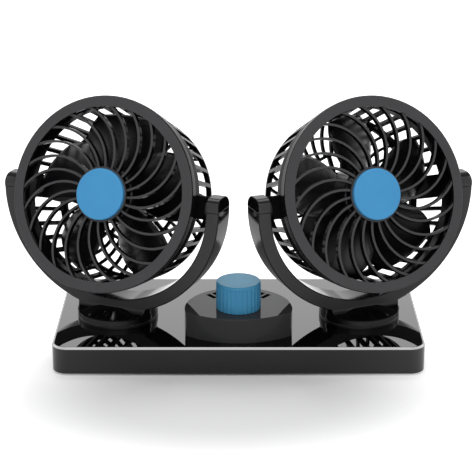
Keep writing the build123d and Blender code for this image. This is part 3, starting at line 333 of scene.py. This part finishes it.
for side in heads:
    for name, finish in finishOfHeadNode.items():
        finishOfNode[f"{side}_{name}"] = finish
    finishOfNode[f"{side}_front_grille"] = grilleCharcoalAbs[side]
    for name in ("yoke", "inner_pivot_cap", "outer_pivot_cap"):
        finishOfNode[f"{side}_{name}"] = yokeBlackAbs[side]

# How every surface is shaded: points nearer than weldMm are joined, and edges over sharpAngle, in
# degrees, stay sharp or are rounded. Before a rounding, faces within flatAngle become one.
shading = {"weldMm": 0.002, "sharpAngle": 33, "flatAngle": 0.2, "roundingSegments": 3}

# Edges that the mould leaves round, in mm; the others are as sharp as they are cut
edgeRounding = {"base_cover": 0.3, "switch_housing": 0.25, "left_yoke": 0.3, "right_yoke": 0.3}


# Node group that joins the loose triangles and shades them smooth up to the sharp angle
def makeSmoothGroup(settings):
    group = bpy.data.node_groups.new("joinAndSmooth", "GeometryNodeTree")
    group.interface.new_socket("Geometry", in_out="INPUT", socket_type="NodeSocketGeometry")
    group.interface.new_socket("Geometry", in_out="OUTPUT", socket_type="NodeSocketGeometry")
    start = addNode(group, "NodeGroupInput")
    joined = addNode(group, "GeometryNodeMergeByDistance", {
        "Geometry": start.outputs[0], "Distance": settings["weldMm"] * millimetre})
    smooth = addNode(group, "GeometryNodeSetShadeSmooth", {
        "Geometry": joined.outputs[0], "Shade Smooth": True})
    angle = addNode(group, "GeometryNodeInputMeshEdgeAngle")
    isSharp = addNode(group, "FunctionNodeCompare", {0: angle.outputs[0], 1: radians(settings["sharpAngle"])},
                      data_type="FLOAT", operation="GREATER_THAN")
    creased = addNode(group, "GeometryNodeSetShadeSmooth", {
        "Geometry": smooth.outputs[0], "Selection": isSharp.outputs[0], "Shade Smooth": False}, domain="EDGE")
    addNode(group, "NodeGroupOutput", {0: creased.outputs[0]})
    return group


smoothGroup = makeSmoothGroup(shading)


# Gives a surface a wall, in mm, inwards from its faces
def addWall(piece, thickness):
    wall = piece.modifiers.new("wall", "SOLIDIFY")
    wall.thickness = thickness * millimetre
    wall.offset = -1


# Rounds the edges of a piece, in mm, once its flat faces are whole again
def addRounding(piece, width):
    flats = piece.modifiers.new("wholeFlats", "DECIMATE")
    flats.decimate_type = "DISSOLVE"
    flats.angle_limit = radians(shading["flatAngle"])
    rounding = piece.modifiers.new("roundedEdges", "BEVEL")
    rounding.width = width * millimetre
    rounding.segments = shading["roundingSegments"]
    rounding.limit_method = "ANGLE"
    rounding.angle_limit = radians(shading["sharpAngle"])


# Joins and smooths a piece, then gives it a wall and rounded edges where it has them, in mm
def finishSurface(piece, wall=0, rounding=0):
    piece.modifiers.new("joinAndSmooth", "NODES").node_group = smoothGroup
    if wall:
        addWall(piece, wall)
    if rounding:
        addRounding(piece, rounding)
    piece.modifiers.new("evenNormals", "WEIGHTED_NORMAL").keep_sharp = True


for name, node in nodes.items():
    node.data.materials.clear()
    node.data.materials.append(finishOfNode[name])
    finishSurface(node, rounding=edgeRounding.get(name, 0))
print("stage: nodes finished")


# A new object at the origin, with its points in metres and one material
def newObject(name, points, faces, material):
    mesh = bpy.data.meshes.new(name)
    mesh.from_pydata(points.reshape(-1, 3).tolist(), [], faces)
    mesh.materials.append(material)
    made = bpy.data.objects.new(name, mesh)
    bpy.context.scene.collection.objects.link(made)
    return made


# Paint of the dial's marks: a film over each shallow pocket in the drum's top, a little proud of
# it. A corner lies at middle + out * radius + aside * (+-gap +- width / 2).
dialPaint = {"drumMiddle": (0, -28), "startRadius": 18.6, "length": 7.0, "width": 2.5, "gap": 2.05,
             "angle": 38, "proud": 0.05, "thickness": 0.12}
matBlackPaint = mouldedPlastic({
    "name": "matBlackPaint", "colours": ("#050505", "#080808"),
    "ior": 1.45, "gloss": 0.0, "roughness": (0.6, 0.7),
    "flowMm": 2, "handlingMm": 2, "grainMm": 0.5, "grainStrength": 0.1, "grainDepthMm": 0.02})


def addDialPaint(settings):
    turns = np.radians([90 - settings["angle"], 90 + settings["angle"]])
    out = np.column_stack([np.cos(turns), np.sin(turns)])
    aside = np.column_stack([-out[:, 1], out[:, 0]])
    radius = settings["startRadius"] + settings["length"] * np.array([0, 1, 1, 0])
    halfWidths = settings["width"] * np.array([-0.5, -0.5, 0.5, 0.5])
    offset = settings["gap"] * np.array([[-1], [1]]) + halfWidths
    corners = out[:, None, None] * radius[:, None] + aside[:, None, None] * offset[..., None]
    flat = (settings["drumMiddle"] + corners.reshape(-1, 2)) * millimetre
    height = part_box("switch_housing")[1][2] + settings["proud"] * millimetre
    points = np.column_stack([flat, np.full(len(flat), height)])
    faces = np.arange(len(points)).reshape(-1, 4).tolist()
    marks = newObject("dial_marks", points, faces, matBlackPaint)
    addWall(marks, settings["thickness"])
    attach(marks, "base")


addDialPaint(dialPaint)
print("stage: dial marks painted")


# Faces between the neighbouring rings of a stack; each ring is closed on itself
def stackedFaces(rings, steps):
    here = np.arange(steps)
    after = np.roll(here, -1)
    first = np.arange(rings - 1)[:, None] * steps
    faces = np.stack([first + here, first + after, first + steps + after, first + steps + here], axis=-1)
    return faces.reshape(-1, 4).tolist()


# The same with one face over each end of the stack; a sign of -1 turns every face round
def closedStackFaces(rings, steps, sign):
    faces = stackedFaces(rings, steps)
    faces.append(list(range(steps))[::-1])
    faces.append(list(range((rings - 1) * steps, rings * steps)))
    return [face[::sign] for face in faces]


# A piece of the fan: a surface with its finish, which rides on a body
def addPiece(name, points, faces, material, body, wall=0, rounding=0):
    piece = newObject(name, points, faces, material)
    finishSurface(piece, wall, rounding)
    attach(piece, body)
    return piece


# From a head's own x along the arm, y up in the head and z along the spin axis, in mm, to metres:
# pivot + arm * x + up * y + spin * z
def headPoints(head, x, y, z):
    place = x[..., None] * head["arm"] + y[..., None] * head["up"] + z[..., None] * head["spin"]
    return head["pivot"] + place * millimetre


# Fan rotor: a hub cup turned from a profile, a boss for the shaft, and wide blades; sizes in mm,
# angles in degrees
fanRotor = {"bladeCount": 5, "rootRadius": 13.0, "stationRadius": 46.5, "tipRadius": 45.5,
            "pitches": (42, 36, 28), "chords": (27, 44, 25), "leans": (-3, 0, 3), "camberShare": 0.07,
            "setback": 5.5, "wall": 1.4, "phases": {"left": 17, "right": 19},
            "radialSteps": 20, "chordSteps": 15, "trialSteps": 60,
            "hubRadius": 15.6, "hubFront": 9.6, "hubLength": 24, "hubRound": 2.0, "roundSteps": 7,
            "hubSteps": 64, "bossRadius": 3.2, "bossLength": 7.0, "faceWall": 1.5}


# A blade's point lies at spoke * radius + rim * along + spin * height: a cambered section, pitched
# out of the rim's direction, whose chord, pitch and lean follow a parabola through the root, the
# middle and the outermost station. Every line from root to tip ends on the tip's cylinder, where
# radius ** 2 + along ** 2 = tipRadius ** 2, which is looked up among trial radii.
def bladePoints(settings, phase, head):
    stations = np.linspace(settings["rootRadius"], settings["stationRadius"], len(settings["pitches"]))
    follow = {name: np.polyfit(stations, settings[name], 2) for name in ("pitches", "chords", "leans")}
    across = np.linspace(-1, 1, settings["chordSteps"])

    def section(radius):
        chord = np.polyval(follow["chords"], radius)
        pitch = np.radians(np.polyval(follow["pitches"], radius))
        along = across * chord / 2
        rise = settings["camberShare"] * chord * (1 - across ** 2)
        return along * np.cos(pitch) - rise * np.sin(pitch), along * np.sin(pitch) + rise * np.cos(pitch)

    trial = np.linspace(settings["rootRadius"], settings["stationRadius"], settings["trialSteps"])[:, None]
    reach = np.hypot(trial, section(trial)[0])
    tips = np.array([np.interp(settings["tipRadius"], column, trial[:, 0]) for column in reach.T])
    share = np.linspace(0, 1, settings["radialSteps"])[:, None]
    radius = settings["rootRadius"] + share * (tips - settings["rootRadius"])
    along, height = section(radius)
    turn = np.radians(phase + np.polyval(follow["leans"], radius)
                      + np.arange(settings["bladeCount"])[:, None, None] * 360 / settings["bladeCount"])
    outX = radius * np.cos(turn) - along * np.sin(turn)
    outY = radius * np.sin(turn) + along * np.cos(turn)
    outZ = np.broadcast_to(height - settings["setback"], outX.shape)
    return headPoints(head, outX, outY, outZ)


# A profile of radii and heights turned round the spin axis: (radius * cos u, radius * sin u, height)
def turnedPoints(radius, height, settings, head):
    turn = np.linspace(0, 2 * np.pi, settings["hubSteps"], endpoint=False)
    heights = np.broadcast_to(height[:, None], (len(height), len(turn)))
    return headPoints(head, radius[:, None] * np.cos(turn), radius[:, None] * np.sin(turn), heights)


# The hub's profile: up its wall, round the shoulder by a quarter circle, and in to the middle
def hubPoints(settings, head):
    bend = np.radians(np.linspace(0, 90, settings["roundSteps"]))
    shoulder = settings["hubRadius"] - settings["hubRound"]
    back = settings["hubFront"] - settings["hubLength"]
    radius = np.concatenate([[settings["hubRadius"]], shoulder + settings["hubRound"] * np.cos(bend), [0]])
    height = np.concatenate([[back], settings["hubFront"] - settings["hubRound"] * (1 - np.sin(bend)),
                             [settings["hubFront"]]])
    return turnedPoints(radius, height, settings, head)


# The boss is a tube back from the inside of the hub's face
def bossPoints(settings, head):
    front = settings["hubFront"] - settings["faceWall"]
    height = np.array([front - settings["bossLength"], front])
    return turnedPoints(np.full(len(height), settings["bossRadius"]), height, settings, head)


def addFanRotor(side, settings):
    head = headOf[side]
    blades = bladePoints(settings, settings["phases"][side], head)
    count, rows, columns = blades.shape[:3]
    cell = np.arange(rows - 1)[:, None] * columns + np.arange(columns - 1)
    quad = np.stack([cell, cell + 1, cell + columns + 1, cell + columns], axis=-1).reshape(-1, 4)
    bladeFaces = (np.arange(count)[:, None, None] * rows * columns + quad).reshape(-1, 4).tolist()
    hub = hubPoints(settings, head)
    boss = bossPoints(settings, head)
    hubStart = count * rows * columns
    bossStart = hubStart + hub.shape[0] * hub.shape[1]
    hubFaces = (np.array(stackedFaces(*hub.shape[:2])) + hubStart).tolist()
    bossFaces = (np.array(stackedFaces(*boss.shape[:2])) + bossStart).tolist()
    points = np.concatenate([part.reshape(-1, 3) for part in (blades, hub, boss)])
    rotor = addPiece(f"{side}_bladed_rotor", points, bladeFaces + hubFaces + bossFaces,
                     rotorBlackPolypropylene, f"{side}_rotor", wall=settings["wall"])
    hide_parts(f"{side}_fan_rotor")


# Cap of an arm: a low arch over the bearing, between two cylinders whose axis runs to the front
# through the pivot. At each turn round the bearing its section goes from the hole to the outline on
# the inner cylinder, on to the outer one, in to the middle, back to the bearing's end and out to the
# hole there. A point x to the front and z up lies at
# pivot + arm * sqrt(radius ** 2 - z ** 2) + front * x + upwards * z.
armCap = {"innerRadius": 58.9, "outerRadius": 66.4, "bearingReach": 63.95, "holeRadius": 3.56,
          "halfDepth": 8.0, "height": 7.2, "corner": 5.5, "cornerSteps": 9, "rounding": 0.5}


def addArmCap(side, place, armSign, settings):
    bend = np.radians(np.linspace(0, 90, settings["cornerSteps"]))
    corner = settings["corner"]
    halfX = np.concatenate([[settings["halfDepth"]], settings["halfDepth"] - corner * (1 - np.cos(bend))])
    halfZ = np.concatenate([[0], settings["height"] - corner * (1 - np.sin(bend))])
    outline = np.concatenate([np.column_stack([halfX, halfZ]), np.column_stack([-halfX, halfZ])[::-1]])
    turn = np.arctan2(outline[:, 1], outline[:, 0])
    hole = settings["holeRadius"] * np.column_stack([np.cos(turn), np.sin(turn)])
    middle = np.zeros_like(hole)
    flat = np.stack([hole, outline, outline, middle, middle, hole], axis=1)
    radii = np.repeat([settings["innerRadius"], settings["outerRadius"], settings["bearingReach"]], 2)
    reach = np.sqrt(radii ** 2 - flat[..., 1] ** 2)
    head = headOf[side]
    points = (armSign * reach[..., None] * head["arm"] + flat[..., :1] * head["front"]
              + flat[..., 1:] * upwards)
    cap = addPiece(f"{side}_{place}_arm_cap", head["pivot"] + points * millimetre,
                   closedStackFaces(*flat.shape[:2], armSign), yokeBlackAbs[side], f"{side}_yoke",
                   rounding=settings["rounding"])
    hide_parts(f"{side}_{place}_pivot_cap")


# Foot of a yoke: a disc just clear of the swivel ring, and on it a round block whose front and back
# sweep in to the arch. Each level is a circle cut off in front and behind:
# (radius * cos u, radius * sin u kept within +-half).
yokeFoot = {"discRadius": 22.9, "discHeight": 2.9, "blockRadius": 22.4, "blockHeight": 4.7, "halfDepth": 14.0,
            "halfNeck": 7.8, "flareSteps": 9, "turnSteps": 160, "rise": 0.02, "rounding": 0.3}


def addYokeFoot(side, settings):
    bend = np.radians(np.linspace(0, 90, settings["flareSteps"]))
    flareHalf = settings["halfDepth"] - (settings["halfDepth"] - settings["halfNeck"]) * np.sin(bend)
    flareHeight = settings["discHeight"] + settings["blockHeight"] * (1 - np.cos(bend))
    discRadii = [settings["discRadius"]] * 2
    radius = np.concatenate([discRadii, np.full(len(bend), settings["blockRadius"])])
    half = np.concatenate([discRadii, flareHalf])
    height = np.concatenate([[settings["rise"], settings["discHeight"]], flareHeight])
    turn = np.linspace(0, 2 * np.pi, settings["turnSteps"], endpoint=False)
    alongArm = radius[:, None] * np.cos(turn)
    forwards = np.clip(radius[:, None] * np.sin(turn), -half[:, None], half[:, None])
    head = headOf[side]
    foot = np.array(jointOf[f"{side}_swivel"]["pos_m"])
    foot[2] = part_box(f"{side}_swivel_ring")[1][2]
    points = (alongArm[..., None] * head["arm"] + forwards[..., None] * head["front"]
              + height[:, None, None] * upwards)
    addPiece(f"{side}_yoke_foot", foot + points * millimetre, closedStackFaces(*alongArm.shape, -1),
             yokeBlackAbs[side], f"{side}_yoke", rounding=settings["rounding"])


for side, innerSign in (("left", 1), ("right", -1)):
    addFanRotor(side, fanRotor)
    addArmCap(side, "inner", innerSign, armCap)
    addArmCap(side, "outer", -innerSign, armCap)
    addYokeFoot(side, yokeFoot)
print("stage: rotors, arm caps and feet modelled")

# Camera where the photograph was taken from: place in metres, pitch in degrees, lens and sensor in
# mm, and the shift as a number of the photograph's pixels
cameraView = {"place": (0, -0.8488, 0.3622), "pitch": 19.494, "lens": 120.75, "sensor": 36,
              "framePixels": 474, "shiftPixels": -1.5}
cameraData = bpy.data.cameras.new("camera")
cameraData.lens = cameraView["lens"]
cameraData.sensor_width = cameraView["sensor"]
cameraData.shift_x = cameraView["shiftPixels"] / cameraView["framePixels"]
camera = bpy.data.objects.new("camera", cameraData)
camera.location = cameraView["place"]
camera.rotation_euler = (radians(90 - cameraView["pitch"]), 0, 0)
bpy.context.scene.collection.objects.link(camera)
bpy.context.scene.camera = camera


# 1 on rays that show the white background: from the camera, in gloss and through glass
def backgroundRay(tree):
    path = addNode(tree, "ShaderNodeLightPath")
    glossOrGlass = addNode(tree, "ShaderNodeMath", {
        0: path.outputs["Is Glossy Ray"], 1: path.outputs["Is Transmission Ray"]}, operation="MAXIMUM")
    return addNode(tree, "ShaderNodeMath", {0: path.outputs["Is Camera Ray"], 1: glossOrGlass.outputs[0]},
                   operation="MAXIMUM").outputs[0]


# World: white where it is seen, and a plainer grey as ambient light
worldLight = {"seen": 1.0, "ambient": 0.15}
world = bpy.data.worlds.new("studio")
bpy.context.scene.world = world
world.use_nodes = True
world.node_tree.nodes.clear()
strength = spread(world.node_tree, backgroundRay(world.node_tree), worldLight["ambient"], worldLight["seen"])
background = addNode(world.node_tree, "ShaderNodeBackground", {"Color": (1, 1, 1, 1), "Strength": strength})
addNode(world.node_tree, "ShaderNodeOutputWorld", {"Surface": background.outputs[0]})

# Floor: pale paper that keeps the shadow in front of the base, with painted light that glows it to
# white around it, so the shadow's edge is painted. The painted light grows with the distance from the
# shadow's middle, counted in the shadow's reaches.
floorSettings = {"halfSide": 4.0, "drop": 0.0001, "colour": "#dedede", "paintedLightFar": 0.8,
                 "shadowMiddle": (-0.01, -0.085, 0), "shadowReach": (0.13, 0.075, 1), "fade": (0.4, 1.45)}


def paperOfFloor(settings):
    material, tree = newMaterial("floorPaper")
    paper = addNode(tree, "ShaderNodeBsdfDiffuse", {"Color": linearColour(settings["colour"])})
    place = addNode(tree, "ShaderNodeTexCoord").outputs["Object"]
    fromShadow = addNode(tree, "ShaderNodeVectorMath", {0: place, 1: settings["shadowMiddle"]},
                         operation="SUBTRACT").outputs["Vector"]
    inReaches = addNode(tree, "ShaderNodeVectorMath", {0: fromShadow, 1: settings["shadowReach"]},
                        operation="DIVIDE").outputs["Vector"]
    reaches = addNode(tree, "ShaderNodeVectorMath", {0: inReaches}, operation="LENGTH").outputs["Value"]
    paintedLightHere = addNode(tree, "ShaderNodeMapRange", {
        "Value": reaches, "From Min": settings["fade"][0], "From Max": settings["fade"][1],
        "To Max": settings["paintedLightFar"]}, interpolation_type="SMOOTHSTEP").outputs["Result"]
    # Painted light for camera and gloss rays: none over the shadow in front of the base, rising to
    # paintedLightFar around it
    paintedLight = addNode(tree, "ShaderNodeEmission", {"Strength": spread(tree, backgroundRay(tree), 0, paintedLightHere)})
    paperAndPaintedLight = addNode(tree, "ShaderNodeAddShader", {0: paper.outputs[0], 1: paintedLight.outputs[0]})
    addNode(tree, "ShaderNodeOutputMaterial", {"Surface": paperAndPaintedLight.outputs[0]})
    return material


floorCorners = np.array([(-1, -1), (1, -1), (1, 1), (-1, 1)]) * floorSettings["halfSide"]
floorPoints = np.column_stack([floorCorners, np.full(len(floorCorners), -floorSettings["drop"])])
floor = newObject("floor", floorPoints, [(0, 1, 2, 3)], paperOfFloor(floorSettings))


# Softbox: an area lamp that looks at the object; its power gives the wanted brightness
def addSoftbox(settings):
    data = bpy.data.lights.new(settings["name"], "AREA")
    data.shape = "RECTANGLE"
    data.size, data.size_y = settings["size"]
    data.energy = settings["brightness"] * np.pi * data.size * data.size_y
    lamp = bpy.data.objects.new(settings["name"], data)
    lamp.location = settings["place"]
    target = np.array(settings["target"]) - np.array(settings["place"])
    flat = np.hypot(target[0], target[1])
    lamp.rotation_euler = (np.arctan2(flat, -target[2]), 0, np.arctan2(target[1], target[0]) - np.pi / 2)
    lamp.visible_camera = False
    bpy.context.scene.collection.objects.link(lamp)


softboxes = [
    {"name": "topSoftbox", "place": (0, -0.53, 1.1), "target": (0, -0.05, 0.016),
     "size": (0.6, 0.12), "brightness": 12.0},
    {"name": "frontSoftbox", "place": (0, -1.6, 0.75), "target": (0, 0, 0.05),
     "size": (1.6, 0.8), "brightness": 2.5},
    {"name": "overheadSoftbox", "place": (0, 0.6, 1.25), "target": (0, -0.05, 0),
     "size": (1.0, 0.6), "brightness": 5.2},
    {"name": "backSoftbox", "place": (0, 1.5, 0.62), "target": (0, 0, 0.05),
     "size": (1.9, 0.75), "brightness": 1.05},
]
for settings in softboxes:
    addSoftbox(settings)


# A lamp's surface whose brightness is the mesh's own attribute
def glowingSurface(name):
    material, tree = newMaterial(name)
    glow = addNode(tree, "ShaderNodeAttribute", attribute_name="glow").outputs["Fac"]
    lamp = addNode(tree, "ShaderNodeEmission", {"Strength": glow})
    addNode(tree, "ShaderNodeOutputMaterial", {"Surface": lamp.outputs[0]})
    return material


# Hoop of light, one for each front corner of the base: where the camera's ray lands once the
# rim's chamfer mirrors it, r = d - 2 (d . n) n, carried on to the hoop's distance. Its glow is the
# brightness wanted of the line, divided by the share that the lacquer mirrors there, which is
# m + (1 - m) (1 - facing) ** 5 with m the share head on. The base's sizes are in mm, the hoop's
# distance and width in metres, angles in degrees.
rimHoop = {"chamferSlope": 45, "cornerRadius": 8.5, "chamferWidth": 1.2, "fromAngle": 3, "toAngle": 80,
           "distance": 1.1, "halfWidth": 0.022, "lineBrightness": 0.5, "mirroredHeadOn": 0.043, "steps": 48}


def addRimHoop(name, sideSign, settings):
    turn = np.radians(np.linspace(settings["fromAngle"], settings["toAngle"], settings["steps"]))
    slope = radians(settings["chamferSlope"])
    low, high = (np.array(corner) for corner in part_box("base_cover"))
    radius = settings["cornerRadius"] * millimetre
    chamferMiddle = high[2] - settings["chamferWidth"] * millimetre / 2
    middle = np.array([sideSign * (high[0] - radius), low[1] + radius, chamferMiddle])
    outward = np.column_stack([sideSign * np.sin(turn), -np.cos(turn), np.zeros_like(turn)])
    normal = outward * np.cos(slope) + upwards * np.sin(slope)
    rim = middle + outward * radius
    ray = rim - np.array(cameraView["place"])
    ray /= np.linalg.norm(ray, axis=1)[:, None]
    facing = -np.sum(ray * normal, axis=1)
    mirrored = ray + 2 * facing[:, None] * normal
    centreLine = rim + settings["distance"] * mirrored
    across = np.cross(mirrored, np.gradient(centreLine, axis=0))
    across *= settings["halfWidth"] / np.linalg.norm(across, axis=1)[:, None]
    points = np.concatenate([centreLine - across, centreLine + across])
    first = np.arange(settings["steps"] - 1)
    faces = np.column_stack([first, first + 1, first + 1 + settings["steps"], first + settings["steps"]])
    hoop = newObject(name, points, faces.tolist(), glowingSurface(name))
    mirroredShare = settings["mirroredHeadOn"] + (1 - settings["mirroredHeadOn"]) * (1 - facing) ** 5
    glow = hoop.data.attributes.new("glow", "FLOAT", "POINT")
    glow.data.foreach_set("value", np.tile(settings["lineBrightness"] / mirroredShare, 2))
    hoop.visible_camera = False


addRimHoop("leftRimHoop", -1, rimHoop)
addRimHoop("rightRimHoop", 1, rimHoop)
bpy.context.scene.view_settings.view_transform = "Standard"
print("stage: camera, floor and light placed")
